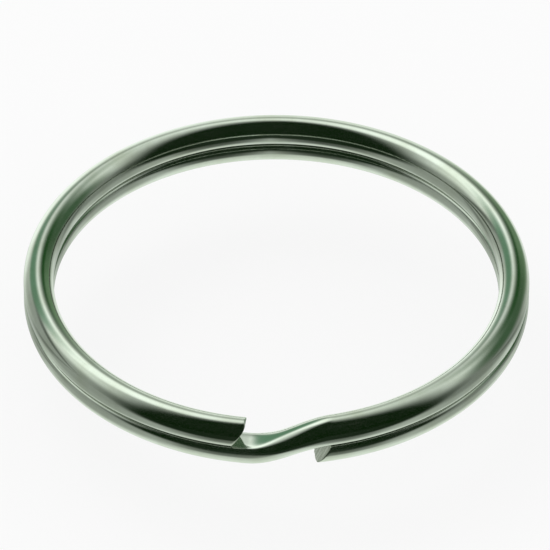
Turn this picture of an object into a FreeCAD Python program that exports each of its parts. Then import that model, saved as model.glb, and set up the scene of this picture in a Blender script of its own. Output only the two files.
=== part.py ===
import FreeCAD, Part
import math
import os

# Split key ring: one spring-steel wire, flattened and wound into two turns that lie on
# each other. A short S-bend, the crossover, carries the wire from the upper turn down to
# the lower one. The upper turn's free end is just left of the crossover and the lower
# turn's free end is just right of it.
#
# Half of each turn stays put when a key is threaded on. The other half, the leaf, springs
# away from its neighbour, so each leaf is divided along its length into short sections,
# and the small bends between the sections add up to the leaf's elastic curve.
#
# Millimetres. The ring's axis is Z, the ring lies on Z = 0, and the crossover is at -Y.
# Angles are in degrees about Z from the middle of the crossover, positive towards +X.

# Sizes that can be set one by one.
OUTSIDE_DIAMETER = 30.0
WIRE_WIDTH = 1.78            # across the wire, in the ring's radial direction
WIRE_HEIGHT = 1.47           # across the wire, along Z
OUTER_ROUNDING = 0.75        # rounding of the long edges on the ring's domed top and bottom
MATING_ROUNDING = 0.28       # rounding of the long edges where the two turns meet
TURN_GAP = 0.03              # clearance between the two turns when the ring is shut
CROSSOVER_SPAN = 20.0        # degrees of the ring that the crossover takes
UPPER_END_SETBACK = 0.12     # from the start of the crossover to the upper end's tip
LOWER_END_CLEARANCE = 0.020  # least clearance between the lower end and the crossover over it
BEVEL_LENGTH = 0.75          # length of the lead-in bevel on each free end
BEVEL_NOSE = 0.20            # height left square at the tip of each free end
LEAF_SECTIONS = 9            # sections in each leaf
SECTION_GAP = 0.05           # clearance between neighbouring sections

# Sizes that follow from them.
MIDDLE_RADIUS = (OUTSIDE_DIAMETER - WIRE_WIDTH) / 2.0
TURN_PITCH = WIRE_HEIGHT + TURN_GAP
HALF_CROSSOVER = CROSSOVER_SPAN / 2.0
CROSSOVER_RUN = MIDDLE_RADIUS * math.radians(CROSSOVER_SPAN)
BACK = 180.0                 # where both leaves meet the rigid half turns
ROUNDED_SHARE = 0.95         # most of the wire's height or width that its roundings take
CROSSOVER_STATIONS = 13      # cross-sections that the crossover is lofted through

AXIS_POINT = FreeCAD.Vector(0, 0, 0)
UP = FreeCAD.Vector(0, 0, 1)


def arc_angle(length):
    """Degrees about the ring's axis that a length takes along the middle of the wire."""
    return math.degrees(length / MIDDLE_RADIUS)


def directions(angle):
    """Outward and forward unit vectors at an angle, both level; forward is towards +angle."""
    turn = math.radians(angle)
    outward = FreeCAD.Vector(math.sin(turn), -math.cos(turn), 0)
    forward = FreeCAD.Vector(math.cos(turn), math.sin(turn), 0)
    return outward, forward


def wire_section(centre, across, upright, rise_share):
    """The flattened wire's outline: a rectangle with rounded corners about a centre.

    rise_share is 0 on the lower turn, which is domed below, and 1 on the upper turn, which is
    domed above. In between the two roundings change places.
    """
    limit = min(1.0, ROUNDED_SHARE * WIRE_HEIGHT / (OUTER_ROUNDING + MATING_ROUNDING),
                ROUNDED_SHARE * WIRE_WIDTH / (2.0 * OUTER_ROUNDING))
    outer = OUTER_ROUNDING * limit
    mating = MATING_ROUNDING * limit
    roundings = {
        1: mating + (outer - mating) * rise_share,
        -1: outer + (mating - outer) * rise_share,
    }
    half_width = WIRE_WIDTH / 2.0
    half_height = WIRE_HEIGHT / 2.0

    def point(x, y):
        return centre + across * x + upright * y

    edges = []
    for side in (0, 1, 2, 3):
        flip_x = (1, -1, -1, 1)[side]
        flip_y = (1, 1, -1, -1)[side]
        rounding = roundings[flip_y]
        corner_x = flip_x * (half_width - rounding)
        corner_y = flip_y * (half_height - rounding)
        on_side = point(flip_x * half_width, corner_y)
        on_face = point(corner_x, flip_y * half_height)
        diagonal = rounding / math.sqrt(2.0)
        on_corner = point(corner_x + flip_x * diagonal, corner_y + flip_y * diagonal)
        if side in (0, 2):
            start, finish = on_side, on_face
            opposite = point(-corner_x, flip_y * half_height)
        else:
            start, finish = on_face, on_side
            opposite = point(flip_x * half_width, -flip_y * (half_height - roundings[-flip_y]))
        edges.append(Part.Arc(start, on_corner, finish).toShape())
        edges.append(Part.makeLine(finish, opposite))
    return Part.Wire(edges)


def flat_arc(start_angle, end_angle, upper):
    """A level stretch of the upper or the lower turn between two angles."""
    outward, _ = directions(start_angle)
    bottom = TURN_PITCH if upper else 0.0
    centre = outward * MIDDLE_RADIUS + UP * (bottom + WIRE_HEIGHT / 2.0)
    face = Part.Face(wire_section(centre, outward, UP, 1.0 if upper else 0.0))
    return face.revolve(AXIS_POINT, UP, end_angle - start_angle)


def crossover():
    """The S-bend: level at both ends, with a cubic ease from the lower turn to the upper."""
    sections = []
    for station in range(CROSSOVER_STATIONS):
        share = station / (CROSSOVER_STATIONS - 1.0)
        eased = share * share * (3.0 - 2.0 * share)
        slope = TURN_PITCH * 6.0 * share * (1.0 - share) / CROSSOVER_RUN
        outward, forward = directions(CROSSOVER_SPAN * share - HALF_CROSSOVER)
        centre = outward * MIDDLE_RADIUS + UP * (WIRE_HEIGHT / 2.0 + TURN_PITCH * eased)
        upright = UP - forward * slope
        upright.normalize()
        sections.append(wire_section(centre, outward, upright, eased))
    return Part.makeLoft(sections, True, False)


def bevel_cutter(tip_angle, body_side, upper):
    """Everything past a free end: square across the nose, then slanting back under it on the
    upper turn, or over it on the lower.

    body_side is +1 where the wire lies on the +angle side of its tip, and -1 on the other.
    """
    bottom = TURN_PITCH if upper else 0.0
    outward, forward = directions(tip_angle)
    along = forward * body_side
    tip = outward * MIDDLE_RADIUS + UP * (bottom + WIRE_HEIGHT / 2.0)
    drop = UP * (-1.0 if upper else 1.0)
    half = WIRE_HEIGHT / 2.0
    beyond = WIRE_WIDTH + BEVEL_LENGTH
    profile = [
        tip - drop * (half + WIRE_HEIGHT),
        tip - drop * (half - BEVEL_NOSE),
        tip + drop * half + along * BEVEL_LENGTH,
        tip + drop * (half + WIRE_HEIGHT) + along * BEVEL_LENGTH,
        tip + drop * (half + WIRE_HEIGHT) - along * beyond,
        tip - drop * (half + WIRE_HEIGHT) - along * beyond,
    ]
    profile.append(profile[0])
    face = Part.Face(Part.makePolygon(profile))
    face.translate(outward * -WIRE_WIDTH)
    return face.extrude(outward * (2.0 * WIRE_WIDTH))


def leaf(name, back_angle, tip_angle, upper):
    """One leaf as {node: solid}: equal sections from the back of the ring to its free end."""
    step = (tip_angle - back_angle) / LEAF_SECTIONS
    towards_tip = math.copysign(1.0, step)
    inset = towards_tip * arc_angle(SECTION_GAP) / 2.0
    nodes = {}
    for number in range(1, LEAF_SECTIONS + 1):
        start = back_angle + (number - 1) * step + inset
        finish = back_angle + number * step - inset
        if number == LEAF_SECTIONS:
            whole = flat_arc(start, tip_angle, upper)
            cutter = bevel_cutter(tip_angle, -towards_tip, upper)
            nodes[name + "_free_end"] = whole.cut(cutter).Solids[0]
        else:
            nodes["%s_section_%d" % (name, number)] = flat_arc(start, finish, upper)
    return nodes


# The lower turn keeps its full height under the crossover until the S-bend, which leaves
# the upper turn by 3 * TURN_PITCH * share ** 2, has used up the gap down to the clearance.
LOWER_END_REACH = CROSSOVER_RUN * math.sqrt(
    (TURN_GAP - LOWER_END_CLEARANCE) / (3.0 * TURN_PITCH))
UPPER_TIP = -HALF_CROSSOVER - arc_angle(UPPER_END_SETBACK)
LOWER_TIP = HALF_CROSSOVER - arc_angle(LOWER_END_REACH + BEVEL_LENGTH)
HALF_GAP = arc_angle(SECTION_GAP) / 2.0

parts = {
    "upper_half_turn": flat_arc(HALF_CROSSOVER, BACK - HALF_GAP, True),
    "crossover_bend": crossover(),
    "lower_half_turn": flat_arc(-HALF_CROSSOVER, -BACK + HALF_GAP, False),
}
parts.update(leaf("upper_leaf", -BACK, UPPER_TIP, True))
parts.update(leaf("lower_leaf", BACK, LOWER_TIP, False))

os.makedirs("parts", exist_ok=True)
for node, solid in parts.items():
    if solid.Volume < 0:
        solid.reverse()
    solid.exportStep("parts/%s.step" % node)
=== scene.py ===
"""Split key ring: a flattened steel wire wound into two turns, plated and softly lit.

The ring lies flat with its crossover at -Y. A place along the wire is given by its winding
angle, which is 0 in the middle of the crossover, grows towards +X and goes on past 180
degrees into the upper turn's free half, and below -180 into the lower turn's.
"""
import math
from functools import partial

import bpy
import numpy as np
from mathutils import Matrix, Vector


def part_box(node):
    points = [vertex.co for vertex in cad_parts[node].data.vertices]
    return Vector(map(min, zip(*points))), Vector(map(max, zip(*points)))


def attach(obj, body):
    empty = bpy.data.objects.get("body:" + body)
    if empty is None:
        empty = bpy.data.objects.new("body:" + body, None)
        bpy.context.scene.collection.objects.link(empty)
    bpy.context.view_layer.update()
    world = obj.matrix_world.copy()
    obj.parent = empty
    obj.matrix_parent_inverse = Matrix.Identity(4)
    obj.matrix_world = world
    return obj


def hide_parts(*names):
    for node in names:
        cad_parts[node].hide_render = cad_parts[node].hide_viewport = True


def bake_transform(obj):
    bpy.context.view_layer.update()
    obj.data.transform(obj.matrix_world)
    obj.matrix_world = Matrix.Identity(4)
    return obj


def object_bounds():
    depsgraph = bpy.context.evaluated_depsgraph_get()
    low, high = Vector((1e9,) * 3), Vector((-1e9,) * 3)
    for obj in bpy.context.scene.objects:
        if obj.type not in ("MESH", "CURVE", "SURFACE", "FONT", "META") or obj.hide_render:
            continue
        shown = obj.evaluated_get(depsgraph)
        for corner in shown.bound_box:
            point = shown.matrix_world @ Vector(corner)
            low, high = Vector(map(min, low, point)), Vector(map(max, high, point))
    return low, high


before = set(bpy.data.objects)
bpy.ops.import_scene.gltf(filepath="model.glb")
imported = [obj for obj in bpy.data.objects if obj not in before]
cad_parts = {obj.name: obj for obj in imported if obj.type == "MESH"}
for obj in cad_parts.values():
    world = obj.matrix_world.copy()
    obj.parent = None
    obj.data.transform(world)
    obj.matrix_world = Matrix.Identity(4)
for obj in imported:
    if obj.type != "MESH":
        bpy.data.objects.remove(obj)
CAD_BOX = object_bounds()

bl_info = {
    "name": "Split Key Ring",
    "version": (1, 0, 0),
    "blender": (4, 5, 0),
    "location": "View3D > Sidebar > Key Ring",
    "description": "Builds a plated split key ring and the small studio it stands in",
    "category": "Add Mesh",
}

MM = 0.001
MICROMETRE = 0.000001
LOWER_LOW, LOWER_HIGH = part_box("lower_half_turn")
UPPER_LOW, UPPER_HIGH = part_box("upper_half_turn")
LOWER_MIDDLE = (LOWER_LOW.z + LOWER_HIGH.z) / 2.0
UPPER_MIDDLE = (UPPER_LOW.z + UPPER_HIGH.z) / 2.0
SHEAR_MARK_DEPTH = 0.008 * MM
# Rows of points over a stretch's start face, round the edge of a free end's cut face, and
# over the end face.
START_ROWS, EDGE_ROWS, END_ROWS = 5, 6, 12
FLOOR_DROP = 5.0 * MM
# The camera's view: its width in outside diameters, and how far its aim is moved from the
# middle of the ring, in widths of the view.
VIEW_WIDTH = 1.0885
AIM_LEFT = 0.0027
AIM_UP = 0.0194
# Soft shapes that the plating reflects: the direction of each from the ring, how many
# degrees it reaches, and its colour.
CLOTHS = (
    ((-0.28, 0.94, -0.19), 24.0, (1.05, 1.12, 1.06)),
    ((-0.28, 0.57, 0.77), 26.0, (1.15, 1.24, 1.15)),
    ((0.50, 0.70, 0.50), 31.0, (0.010, 0.060, 0.010)),
    ((0.58, 0.80, 0.12), 26.0, (0.13, 0.22, 0.12)),
    ((0.84, 0.40, 0.36), 33.0, (0.05, 0.10, 0.05)),
    ((-0.44, 0.76, 0.48), 25.0, (0.13, 0.25, 0.16)),
)
PATH = "wire_path"
CUT = "cut_face"


class WireSizes(bpy.types.PropertyGroup):
    """Sizes of the wire and of the two turns it is wound into."""
    outside_diameter: bpy.props.FloatProperty(
        name="Outside diameter", description="Across the whole ring",
        default=CAD_BOX[1].x - CAD_BOX[0].x, min=0.005, unit="LENGTH")
    width: bpy.props.FloatProperty(
        name="Wire width", description="Across the flattened wire, level",
        default=1.78 * MM, min=0.0005, unit="LENGTH")
    height: bpy.props.FloatProperty(
        name="Wire height", description="Across the flattened wire, upright",
        default=LOWER_HIGH.z - LOWER_LOW.z, min=0.0005, unit="LENGTH")
    dome_share: bpy.props.FloatProperty(
        name="Dome share", description="Part of the wire's height that its domed side takes",
        default=0.61, min=0.5, max=0.8)
    dome_squareness: bpy.props.FloatProperty(
        name="Dome squareness", description="2 is a round dome, and higher is flatter",
        default=2.0, min=1.8, max=8.0)
    mating_squareness: bpy.props.FloatProperty(
        name="Mating squareness", description="The same for the side that meets the other turn",
        default=5.0, min=1.8, max=8.0)
    crossover_span: bpy.props.FloatProperty(
        name="Crossover span", description="Part of the ring that the S-bend takes",
        default=math.radians(20.0), min=0.05, subtype="ANGLE")
    upper_end: bpy.props.FloatProperty(
        name="Upper end", description="Winding angle of the upper free end's tip",
        default=math.radians(349.513), subtype="ANGLE")
    lower_end: bpy.props.FloatProperty(
        name="Lower end", description="Winding angle of the lower free end's tip",
        default=math.radians(-353.988), subtype="ANGLE")
    bevel_length: bpy.props.FloatProperty(
        name="Bevel length", description="Length of the slant on each free end",
        default=0.75 * MM, unit="LENGTH")
    bevel_nose: bpy.props.FloatProperty(
        name="Bevel nose", description="Height left square at each tip",
        default=0.20 * MM, unit="LENGTH")
    cut_rounding: bpy.props.FloatProperty(
        name="Cut rounding", description="Radius of the tumbled edges of the cut faces",
        default=0.07 * MM, unit="LENGTH")


class PlatingLook(bpy.types.PropertyGroup):
    """Colours and wear of the nickel plating."""
    bright: bpy.props.FloatVectorProperty(
        name="Bright plating", description="Colour of clean nickel plate",
        default=(0.80, 0.84, 0.78), subtype="COLOR", min=0.0, max=1.0)
    dull: bpy.props.FloatVectorProperty(
        name="Dull plating", description="Colour of handled, faintly tarnished plate",
        default=(0.66, 0.70, 0.60), subtype="COLOR", min=0.0, max=1.0)
    cut_steel: bpy.props.FloatVectorProperty(
        name="Cut steel", description="Colour of the sheared ends under their thin plate",
        default=(0.72, 0.74, 0.68), subtype="COLOR", min=0.0, max=1.0)
    polish: bpy.props.FloatProperty(
        name="Polish", description="Roughness of untouched plate", default=0.10,
        min=0.0, max=1.0)
    scratch_depth: bpy.props.FloatProperty(
        name="Scratch depth", description="How deep the handling scratches are",
        default=0.8 * MICROMETRE, unit="LENGTH")


class StudioLook(bpy.types.PropertyGroup):
    """Floor, lights and camera."""
    floor: bpy.props.FloatVectorProperty(
        name="Floor", description="Colour of the pale floor", default=(0.22, 0.22, 0.22),
        subtype="COLOR", min=0.0, max=1.0)
    floor_glow: bpy.props.FloatProperty(
        name="Floor glow", description="Light that the floor gives of its own", default=0.73,
        min=0.0)
    light: bpy.props.FloatVectorProperty(
        name="Light side", description="What the plating reflects from behind and above",
        default=(0.80, 0.87, 0.79), subtype="COLOR", min=0.0, max=1.0)
    dark: bpy.props.FloatVectorProperty(
        name="Dark side", description="What the plating reflects from the front",
        default=(0.003, 0.013, 0.002), subtype="COLOR", min=0.0, max=1.0)
    elevation: bpy.props.FloatProperty(
        name="Elevation", description="Camera's height above the horizon",
        default=math.radians(39.7), subtype="ANGLE")
    azimuth: bpy.props.FloatProperty(
        name="Azimuth", description="Camera's turn about the ring from -Y towards +X",
        default=math.radians(-3.4), subtype="ANGLE")
    roll: bpy.props.FloatProperty(
        name="Roll", description="Camera's turn about its own line of sight",
        default=math.radians(0.28), subtype="ANGLE")
    distance: bpy.props.FloatProperty(
        name="Distance", description="From the camera to the ring", default=0.45,
        unit="LENGTH")


# ---------------------------------------------------------------- shape of the wire

def middle_radius(wire):
    """Radius of the wire's middle line."""
    return (wire.outside_diameter - wire.width) / 2.0


def crossover_share(turn, wire):
    """Share of the crossover passed at a winding angle: 0 on the lower turn, 1 on the upper."""
    return np.clip(turn / wire.crossover_span + 0.5, 0.0, 1.0)


def eased_share(share):
    """The share t made level at both ends: 3t^2 - 2t^3."""
    return share ** 2 * (3.0 - 2.0 * share)


def wire_points(turn, across, upright, wire):
    """Points of the wire from their winding angle and their place in its section.

    The middle line is a circle (R sin w, -R cos w, z). z is level on each turn and rises
    through the crossover by the eased share of it passed. The section's x is level and
    points outwards, and its y is square to x and to the line.
    """
    radius = middle_radius(wire)
    pitch = UPPER_MIDDLE - LOWER_MIDDLE
    share = crossover_share(turn, wire)
    rise = LOWER_MIDDLE + pitch * eased_share(share)
    slope = pitch * 6.0 * share * (1.0 - share) / (radius * wire.crossover_span)
    steep = 1.0 / np.sqrt(1.0 + slope ** 2)
    outward = np.stack([np.sin(turn), -np.cos(turn)], axis=-1)
    forward = np.stack([np.cos(turn), np.sin(turn)], axis=-1)
    level = outward * (radius + across)[..., None]
    level = level - forward * (upright * slope * steep)[..., None]
    return np.concatenate([level, (rise + upright * steep)[..., None]], axis=-1)


def section_outline(turn, columns, wire):
    """The wire's outline at each winding angle, by equal steps of direction.

    Above and below its widest level it follows |x/a|^n + |y/b|^n = 1, with one n and b for
    the domed side and another for the side that meets the other turn. The dome is below on
    the lower turn and above on the upper, and the two change places through the crossover.
    The mating side is square only near the other turn.
    """
    direction = np.linspace(0.0, 2.0 * math.pi, columns, endpoint=False)
    x, y = np.cos(direction), np.sin(direction)
    upper = eased_share(crossover_share(turn, wire))[:, None]
    lower = 1.0 - upper
    above = y >= 0.0
    dome, mating = wire.dome_share, 1.0 - wire.dome_share
    top = wire.height * (dome * upper + mating * lower)
    height = np.where(above, top, wire.height - top)
    round_n, square_n = wire.dome_squareness, wire.mating_squareness
    power = round_n + (square_n - round_n) * np.where(above, lower, upper) ** 6
    reach = np.abs(2.0 * x / wire.width) ** power + np.abs(y / height) ** power
    reach = reach ** (-1.0 / power)
    return reach * x, reach * y + wire.height / 2.0 - top


def free_end_stop(across, upright, length, bevel, wire):
    """How far along the wire each point of a free end's cut face lies.

    Square across the nose, then slanting back in proportion to the depth under it (bevel
    above 0) or the height over it (below 0), with the corner eased and faint shear marks.
    """
    side = math.copysign(1.0, bevel)
    past_nose = wire.height / 2.0 - wire.bevel_nose - side * upright
    soft = 0.03 * MM
    past_nose = (past_nose + np.sqrt(past_nose ** 2 + soft ** 2)) / 2.0
    marks = np.sin(across / (0.11 * MM) + 1.3) * np.sin(upright / (0.17 * MM))
    marks = marks + 0.6 * np.sin(across / (0.05 * MM) + upright / (0.31 * MM))
    slant = abs(bevel) / (wire.height - wire.bevel_nose)
    return length - slant * past_nose + SHEAR_MARK_DEPTH * marks


def stretch_of_wire(name, start, heading, length, wire, bevel=0.0, steps=380, columns=96):
    """One closed stretch of the wire, from a flat face at its start to its far end.

    Every row is the wire's outline at one place along it. The first rows grow over the start
    face, the next run along the wire, and each column stops at its own point of the end. On
    a free end a quarter circle then rounds the edge. The last rows shrink over the end face.
    """
    radius = middle_radius(wire)
    rounding = wire.cut_rounding if bevel else 0.0
    sweep = np.linspace(0.0, math.pi / 2.0, EDGE_ROWS + 1)[1:] if bevel else np.zeros(0)
    grow = np.linspace(0.0, 1.0, START_ROWS + 1)[1:]
    fade = np.linspace(1.0, 0.0, END_ROWS + 2)[1:-1]
    run = np.linspace(0.0, 1.0, steps + 1)[1:]
    still, full = np.zeros_like(grow), np.ones_like(fade)
    shrink = np.concatenate([grow, np.ones(steps + len(sweep)), fade])[:, None]
    ramp = np.concatenate([still, run, np.ones_like(sweep), full])[:, None]
    inset = np.concatenate([still, np.zeros(steps), 1.0 - np.cos(sweep), full])
    inset = rounding * inset[:, None]
    lag = np.concatenate([still, np.ones(steps), 1.0 - np.sin(sweep), np.zeros_like(fade)])
    lag = rounding * lag[:, None]

    x, y = section_outline(start + heading * ramp[:, 0] * length / radius, columns, wire)
    kept = shrink * (1.0 - inset / np.hypot(x, y))
    across, upright = kept * x, kept * y
    if bevel:
        stop = free_end_stop(across, upright, length, bevel, wire)
        tip = float(free_end_stop(0.0, 0.0, length, bevel, wire))
    else:
        stop, tip = np.full_like(across, length), length
    along = ramp * (stop - lag)
    rows = len(along)
    flat_across = np.concatenate([across.ravel(), [0.0, 0.0]])
    flat_upright = np.concatenate([upright.ravel(), [0.0, 0.0]])
    turn = start + heading * np.concatenate([along.ravel(), [0.0, tip]]) / radius
    points = wire_points(turn, flat_across, flat_upright, wire)

    column = np.arange(columns)
    beside = (column + 1) % columns
    row = np.arange(rows - 1)[:, None] * columns
    quads = np.stack([row + column, row + columns + column,
                      row + columns + beside, row + beside], axis=-1).reshape(-1, 4)
    first, last, top = rows * columns, rows * columns + 1, (rows - 1) * columns
    opening = np.stack([np.full(columns, first), column, beside], axis=-1)
    closing = np.stack([top + column, np.full(columns, last), top + beside], axis=-1)
    tris = np.concatenate([opening, closing])
    if heading < 0:
        quads, tris = quads[:, ::-1], tris[:, ::-1]

    mesh = bpy.data.meshes.new(name)
    mesh.from_pydata(points, [], quads.tolist() + tris.tolist())
    mesh.polygons.foreach_set("use_smooth", np.ones(len(mesh.polygons), dtype=bool))
    mesh.set_sharp_from_angle(angle=math.radians(50.0))
    path = np.stack([turn * radius, flat_across, flat_upright], axis=-1)
    mesh.attributes.new(PATH, "FLOAT_VECTOR", "POINT").data.foreach_set(
        "vector", path.astype(np.float32).ravel())
    cut = np.zeros(len(turn), dtype=np.float32)
    if bevel:
        first_cut_row = rows - END_ROWS - 2
        cut[first_cut_row * columns:rows * columns] = 1.0
        cut[last] = 1.0
    mesh.attributes.new(CUT, "FLOAT", "POINT").data.foreach_set("value", cut)
    mesh.update()
    piece = bpy.data.objects.new(name, mesh)
    bpy.context.scene.collection.objects.link(piece)
    return piece


# ---------------------------------------------------------------- finish of the wire

def add_node(tree, kind, inputs=None, **settings):
    """A node with its settings and its unlinked inputs, or links, filled in."""
    node = tree.nodes.new(kind)
    for key, value in settings.items():
        setattr(node, key, value)
    for key, value in (inputs or {}).items():
        if isinstance(value, bpy.types.NodeSocket):
            tree.links.new(value, node.inputs[key])
        else:
            node.inputs[key].default_value = value
    return node


def math_value(tree, operation, first, second, third=0.0):
    """The value of a maths node."""
    return add_node(tree, "ShaderNodeMath", {0: first, 1: second, 2: third},
                    operation=operation).outputs["Value"]


def mixed_colour(tree, factor, first, second):
    """The first colour, turned into the second by the factor."""
    return add_node(tree, "ShaderNodeMix", {0: factor, 6: first, 7: second},
                    data_type="RGBA").outputs[2]


def noise_value(tree, vector, scale, detail, roughness=0.5):
    """Noise of a given scale, from 0 to 1."""
    return add_node(tree, "ShaderNodeTexNoise", {
        "Vector": vector, "Scale": scale, "Detail": detail,
        "Roughness": roughness}).outputs["Fac"]


def ranged(tree, value, low, high):
    """0 where the value is low or less, 1 where it is high or more, and even between."""
    return add_node(tree, "ShaderNodeMapRange", {
        "Value": value, "From Min": low, "From Max": high}).outputs["Result"]


def new_group(name, inputs, outputs):
    """An empty shader node group with its sockets, and its two end nodes."""
    group = bpy.data.node_groups.new(name, "ShaderNodeTree")
    for label, kind, value in inputs:
        socket = group.interface.new_socket(label, in_out="INPUT", socket_type=kind)
        if value is not None:
            socket.default_value = value
    for label, kind in outputs:
        group.interface.new_socket(label, in_out="OUTPUT", socket_type=kind)
    return group, group.nodes.new("NodeGroupInput"), group.nodes.new("NodeGroupOutput")


def streaks_group():
    """Thin broken lines along one direction: stretched noise, kept only near its crests."""
    if "fine_streaks" in bpy.data.node_groups:
        return bpy.data.node_groups["fine_streaks"]
    group, source, sink = new_group(
        "fine_streaks",
        [("Vector", "NodeSocketVector", None), ("Turn", "NodeSocketVector", (0.0, 0.0, 0.0)),
         ("Stretch", "NodeSocketVector", (1.0, 1.0, 1.0)), ("Keep", "NodeSocketFloat", 0.62),
         ("Breaks", "NodeSocketFloat", 300.0)],
        [("Streaks", "NodeSocketFloat")])
    turned = add_node(group, "ShaderNodeMapping", {
        "Vector": source.outputs["Vector"], "Rotation": source.outputs["Turn"]})
    placed = add_node(group, "ShaderNodeVectorMath", {
        0: turned.outputs["Vector"], 1: source.outputs["Stretch"]}, operation="MULTIPLY")
    lines = noise_value(group, placed.outputs["Vector"], 1.0, 2.0, 0.6)
    crests = ranged(group, lines, source.outputs["Keep"], 0.78)
    patches = noise_value(group, source.outputs["Vector"], source.outputs["Breaks"], 1.0)
    broken = math_value(group, "MULTIPLY", crests, ranged(group, patches, 0.45, 0.60))
    group.links.new(broken, sink.inputs["Streaks"])
    return group


def rubbed_edges_group():
    """Where the wire's four long shoulders rub: both section coordinates large, in patches."""
    if "rubbed_edges" in bpy.data.node_groups:
        return bpy.data.node_groups["rubbed_edges"]
    group, source, sink = new_group(
        "rubbed_edges",
        [("Vector", "NodeSocketVector", None), ("Patches", "NodeSocketFloat", 900.0)],
        [("Rubbed", "NodeSocketFloat")])
    place = add_node(group, "ShaderNodeSeparateXYZ", {"Vector": source.outputs["Vector"]})
    product = math_value(group, "MULTIPLY", place.outputs["Y"], place.outputs["Z"])
    shoulder = ranged(group, math_value(group, "ABSOLUTE", product, 0.0),
                      0.28 * MM ** 2, 0.42 * MM ** 2)
    patches = noise_value(group, source.outputs["Vector"], source.outputs["Patches"], 4.0, 0.65)
    rubbed = math_value(group, "MULTIPLY", shoulder, ranged(group, patches, 0.42, 0.66))
    group.links.new(rubbed, sink.inputs["Rubbed"])
    return group


def plated_wire(look):
    """Bright nickel over drawn steel: faint lengthwise drawing lines, handling scratches in
    other directions, rubbed shoulders, a slow cloudiness, and coarser cut ends."""
    if "nickel_plated_wire" in bpy.data.materials:
        return bpy.data.materials["nickel_plated_wire"]
    material = bpy.data.materials.new("nickel_plated_wire")
    material.use_nodes = True
    tree = material.node_tree
    shader = tree.nodes["Principled BSDF"]
    calc, mixed = partial(math_value, tree), partial(mixed_colour, tree)
    path = add_node(tree, "ShaderNodeAttribute", attribute_name=PATH).outputs["Vector"]
    cut = add_node(tree, "ShaderNodeAttribute", attribute_name=CUT).outputs["Fac"]

    def streaks(turn, stretch, keep, breaks):
        return add_node(tree, "ShaderNodeGroup", {
            "Vector": path, "Turn": turn, "Stretch": stretch, "Keep": keep, "Breaks": breaks},
            node_tree=streaks_group()).outputs["Streaks"]

    drawn = streaks((0.0, 0.0, 0.0), (260.0, 22000.0, 22000.0), 0.50, 500.0)
    slanted = streaks((0.3, 0.9, 0.7), (900.0, 26000.0, 20000.0), 0.64, 420.0)
    crossing = streaks((0.5, -0.4, -1.1), (700.0, 30000.0, 26000.0), 0.66, 350.0)
    rubbed = add_node(tree, "ShaderNodeGroup", {"Vector": path, "Patches": 700.0},
                      node_tree=rubbed_edges_group()).outputs["Rubbed"]
    clouds = noise_value(tree, path, 420.0, 5.0, 0.6)
    grain = noise_value(tree, path, 9000.0, 3.0, 0.7)

    bright, dull = (*look.bright, 1.0), (*look.dull, 1.0)
    colour = mixed(ranged(tree, clouds, 0.35, 0.75), bright, dull)
    colour = mixed(calc("MULTIPLY", rubbed, 0.6), colour, bright)
    ends = calc("MULTIPLY", cut, calc("MULTIPLY_ADD", grain, 0.5, 0.5))
    colour = mixed(ends, colour, (*look.cut_steel, 1.0))
    tree.links.new(colour, shader.inputs["Base Color"])

    scratches = calc("MAXIMUM", slanted, crossing)
    rough = calc("MULTIPLY_ADD", clouds, 0.10, look.polish - 0.05)
    rough = calc("MULTIPLY_ADD", scratches, 0.16, rough)
    rough = calc("MULTIPLY_ADD", drawn, 0.05, rough)
    rough = calc("MULTIPLY_ADD", rubbed, 0.08, rough)
    rough = calc("MULTIPLY_ADD", cut, 0.16, rough)
    tree.links.new(rough, shader.inputs["Roughness"])

    height = calc("MULTIPLY", calc("MULTIPLY_ADD", drawn, 0.35, scratches), -1.0)
    height = calc("MULTIPLY_ADD", calc("MULTIPLY", cut, grain), 6.0, height)
    height = calc("MULTIPLY_ADD", clouds, 1.2, height)
    bump = add_node(tree, "ShaderNodeBump", {
        "Height": height, "Distance": look.scratch_depth, "Strength": 0.6})
    tree.links.new(bump.outputs["Normal"], shader.inputs["Normal"])
    shader.inputs["Metallic"].default_value = 1.0
    return material


def finish_piece(piece, look):
    """The plating."""
    piece.data.materials.append(plated_wire(look))


# ---------------------------------------------------------------- pieces

class KEYRING_OT_coil(bpy.types.Operator):
    """Build the stretch that stays put: lower half turn, crossover and upper half turn"""
    bl_idname = "keyring.coil"
    bl_label = "Coil"

    def execute(self, context):
        wire = context.scene.keyring_wire
        length = 2.0 * math.pi * middle_radius(wire)
        piece = stretch_of_wire("coil_wire", -math.pi, 1.0, length, wire, steps=760)
        finish_piece(piece, context.scene.keyring_plating)
        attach(piece, "coil")
        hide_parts("upper_half_turn", "crossover_bend", "lower_half_turn")
        return {"FINISHED"}


def build_leaf(context, side, heading, end):
    """A free half turn between the coil and its own free end."""
    wire = context.scene.keyring_wire
    radius = middle_radius(wire)
    length = (abs(end) - math.pi) * radius
    bevel = heading * wire.bevel_length
    piece = stretch_of_wire(side + "_leaf_wire", heading * math.pi, heading, length, wire,
                            bevel=bevel)
    finish_piece(piece, context.scene.keyring_plating)
    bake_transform(piece)
    sections = ["%s_leaf_section_%d" % (side, number) for number in range(1, 9)]
    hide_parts(*sections, side + "_leaf_free_end")


class KEYRING_OT_upper_leaf(bpy.types.Operator):
    """Build the upper turn's free half, which springs up"""
    bl_idname = "keyring.upper_leaf"
    bl_label = "Upper free half"

    def execute(self, context):
        build_leaf(context, "upper", 1.0, context.scene.keyring_wire.upper_end)
        return {"FINISHED"}


class KEYRING_OT_lower_leaf(bpy.types.Operator):
    """Build the lower turn's free half, which springs down"""
    bl_idname = "keyring.lower_leaf"
    bl_label = "Lower free half"

    def execute(self, context):
        build_leaf(context, "lower", -1.0, context.scene.keyring_wire.lower_end)
        return {"FINISHED"}


# ---------------------------------------------------------------- studio

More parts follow.
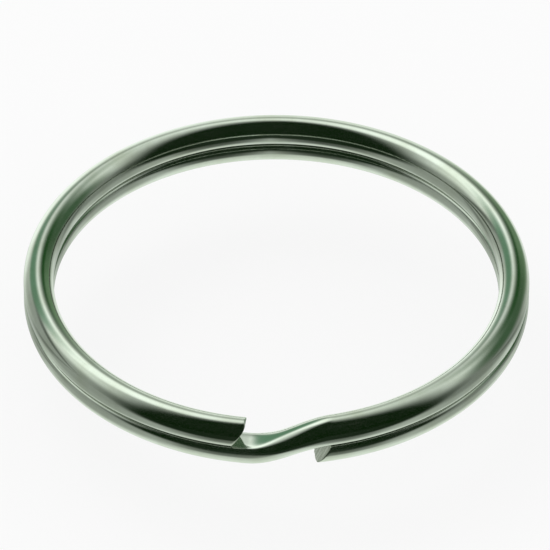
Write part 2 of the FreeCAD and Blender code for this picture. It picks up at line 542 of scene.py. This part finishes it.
def build_world(look):
    """What the plating reflects: a light tent that is open, and dark, in a wedge at its front.

    With x, y and z of a direction, the tent's wall is light where y + 0.8 |x| is large, and
    its floor is light where y - 0.5 |x| is. One shaded bar runs along the wall and another
    along its foot, both sides are dimmer, and soft cloths hang in front. Everything but the
    plating sees an even pale light.
    """
    world = bpy.data.worlds.new("studio")
    bpy.context.scene.world = world
    world.use_nodes = True
    tree = world.node_tree
    view = add_node(tree, "ShaderNodeTexCoord").outputs["Generated"]
    parts = add_node(tree, "ShaderNodeSeparateXYZ", {"Vector": view}).outputs
    x, y, z = parts["X"], parts["Y"], parts["Z"]
    calc, mixed = partial(math_value, tree), partial(mixed_colour, tree)
    aside = calc("ABSOLUTE", x, 0.0)
    elevation = calc("ARCTAN2", z, y)

    def eased(value, low, high, low_result=0.0, high_result=1.0):
        return add_node(tree, "ShaderNodeMapRange", {
            "Value": value, "From Min": low, "From Max": high, "To Min": low_result,
            "To Max": high_result}, interpolation_type="SMOOTHSTEP").outputs["Result"]

    def bar(low, middle, high, depth):
        rise = eased(elevation, math.radians(low), math.radians(middle))
        fall = eased(elevation, math.radians(middle), math.radians(high), 1.0, 0.0)
        return calc("MULTIPLY", calc("MULTIPLY", rise, fall), depth)

    # The wall and its shaded bar, the floor, and the two of them meeting.
    wedge = calc("MULTIPLY_ADD", aside, 0.8, y)
    shade = bar(10.0, 33.0, 50.0, eased(x, -0.20, 0.10, 0.75, 0.35))
    wall = calc("MULTIPLY", eased(wedge, 0.14, 0.84), calc("SUBTRACT", 1.0, shade))
    front = calc("MULTIPLY_ADD", aside, -0.5, y)
    ground = calc("MULTIPLY", eased(front, -0.92, -0.68, 0.02, 1.0),
                  eased(y, -0.80, 0.10, 0.72, 1.0))
    tent = calc("MULTIPLY_ADD", eased(z, -0.16, 0.0), calc("SUBTRACT", wall, ground), ground)

    # How dim the two sides are low down, and how much less so high up.
    low_dim = calc("MULTIPLY", eased(x, 0.35, 0.95, 1.0, 0.27),
                   eased(x, -0.25, -0.85, 1.0, 0.38))
    high_dim = eased(aside, 0.70, 1.0, 1.0, 0.4)
    dim = calc("MULTIPLY_ADD", eased(z, 0.10, 0.55), calc("SUBTRACT", high_dim, low_dim),
               low_dim)

    dark, light = (*look.dark, 1.0), (*look.light, 1.0)
    colour = mixed(calc("MULTIPLY", tent, dim), dark, light)
    for centre, reach, cloth in CLOTHS:
        facing = add_node(tree, "ShaderNodeVectorMath", {
            0: view, 1: Vector(centre).normalized()}, operation="DOT_PRODUCT").outputs["Value"]
        inside = eased(facing, math.cos(math.radians(reach)), 1.0)
        colour = mixed(inside, colour, (*cloth, 1.0))
    colour = mixed(bar(-56.0, -43.0, -30.0, 0.45), colour, dark)
    glossy = add_node(tree, "ShaderNodeLightPath").outputs["Is Glossy Ray"]
    seen = mixed(glossy, (1.0, 1.0, 1.0, 1.0), colour)
    tree.links.new(seen, tree.nodes["Background"].inputs["Color"])


def build_floor(look):
    """A wide, flat, faintly mottled floor, far enough down for the lower end to open."""
    half = 3.0
    mesh = bpy.data.meshes.new("studio_floor")
    corners = [(-half, -half, -FLOOR_DROP), (half, -half, -FLOOR_DROP),
               (half, half, -FLOOR_DROP), (-half, half, -FLOOR_DROP)]
    mesh.from_pydata(corners, [], [(0, 1, 2, 3)])
    floor = bpy.data.objects.new("studio_floor", mesh)
    bpy.context.scene.collection.objects.link(floor)
    floor.visible_glossy = False
    material = bpy.data.materials.new("pale_floor")
    material.use_nodes = True
    tree = material.node_tree
    shader = tree.nodes["Principled BSDF"]
    place = add_node(tree, "ShaderNodeTexCoord").outputs["Object"]
    deeper = (*[0.985 * channel for channel in look.floor], 1.0)
    tone = mixed_colour(tree, noise_value(tree, place, 60.0, 3.0), (*look.floor, 1.0), deeper)
    tree.links.new(tone, shader.inputs["Base Color"])
    shader.inputs["Roughness"].default_value = 0.9
    shader.inputs["Specular IOR Level"].default_value = 0.0
    shader.inputs["Emission Color"].default_value = (1.0, 1.0, 1.0, 1.0)
    shader.inputs["Emission Strength"].default_value = look.floor_glow
    floor.data.materials.append(material)


def build_light(name, place, size, energy):
    """A square soft light that looks at the ring."""
    data = bpy.data.lights.new(name, "AREA")
    data.size = size
    data.energy = energy
    light = bpy.data.objects.new(name, data)
    light.location = place
    light.rotation_mode = "QUATERNION"
    light.rotation_quaternion = (-Vector(place)).to_track_quat("-Z", "Y")
    light.visible_glossy = False
    bpy.context.scene.collection.objects.link(light)


def build_camera(look, wire):
    """A long lens that frames the ring with a small margin, a little above the middle."""
    view_width = VIEW_WIDTH * wire.outside_diameter
    azimuth, level = look.azimuth, math.cos(look.elevation)
    back = Vector((math.sin(azimuth) * level, -math.cos(azimuth) * level,
                   math.sin(look.elevation)))
    turn = (-back).to_track_quat("-Z", "Y").to_matrix()
    centre = (CAD_BOX[0] + CAD_BOX[1]) / 2.0
    aim = centre + (turn.col[1] * AIM_UP - turn.col[0] * AIM_LEFT) * view_width
    data = bpy.data.cameras.new("camera")
    data.sensor_width = 36.0
    data.lens = data.sensor_width * look.distance / view_width
    data.clip_start, data.clip_end = 0.01, 20.0
    camera = bpy.data.objects.new("camera", data)
    camera.matrix_world = (Matrix.Translation(aim + back * look.distance)
                           @ (turn @ Matrix.Rotation(look.roll, 3, "Z")).to_4x4())
    bpy.context.scene.collection.objects.link(camera)
    bpy.context.scene.camera = camera


class KEYRING_OT_studio(bpy.types.Operator):
    """Build the floor, the lights, what the plating reflects, and the camera"""
    bl_idname = "keyring.studio"
    bl_label = "Studio"

    def execute(self, context):
        look = context.scene.keyring_studio
        context.scene.view_settings.view_transform = "Standard"
        build_world(look)
        build_floor(look)
        build_light("key_light", place=(-0.25, 0.15, 0.6), size=0.5, energy=0.6)
        build_camera(look, context.scene.keyring_wire)
        return {"FINISHED"}


class KEYRING_PT_panel(bpy.types.Panel):
    """The ring's sizes and looks, and the buttons that build it"""
    bl_label = "Key Ring"
    bl_space_type = "VIEW_3D"
    bl_region_type = "UI"
    bl_category = "Key Ring"

    def draw(self, context):
        for group in (context.scene.keyring_wire, context.scene.keyring_plating,
                      context.scene.keyring_studio):
            box = self.layout.box()
            for key in group.bl_rna.properties.keys():
                if key not in ("rna_type", "name"):
                    box.prop(group, key)
        for operator in BUILD_ORDER:
            self.layout.operator(operator.bl_idname)


BUILD_ORDER = (KEYRING_OT_coil, KEYRING_OT_upper_leaf, KEYRING_OT_lower_leaf,
               KEYRING_OT_studio)
GROUPS = {"keyring_wire": WireSizes, "keyring_plating": PlatingLook,
          "keyring_studio": StudioLook}


def register():
    for name, group in GROUPS.items():
        bpy.utils.register_class(group)
        setattr(bpy.types.Scene, name, bpy.props.PointerProperty(type=group))
    for operator in BUILD_ORDER:
        bpy.utils.register_class(operator)
    bpy.utils.register_class(KEYRING_PT_panel)


def unregister():
    bpy.utils.unregister_class(KEYRING_PT_panel)
    for operator in reversed(BUILD_ORDER):
        bpy.utils.unregister_class(operator)
    for name, group in reversed(GROUPS.items()):
        delattr(bpy.types.Scene, name)
        bpy.utils.unregister_class(group)


def main():
    """Registers the add-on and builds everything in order."""
    register()
    bpy.ops.keyring.coil()
    bpy.ops.keyring.upper_leaf()
    bpy.ops.keyring.lower_leaf()
    bpy.ops.keyring.studio()


if __name__ == "__main__":
    main()
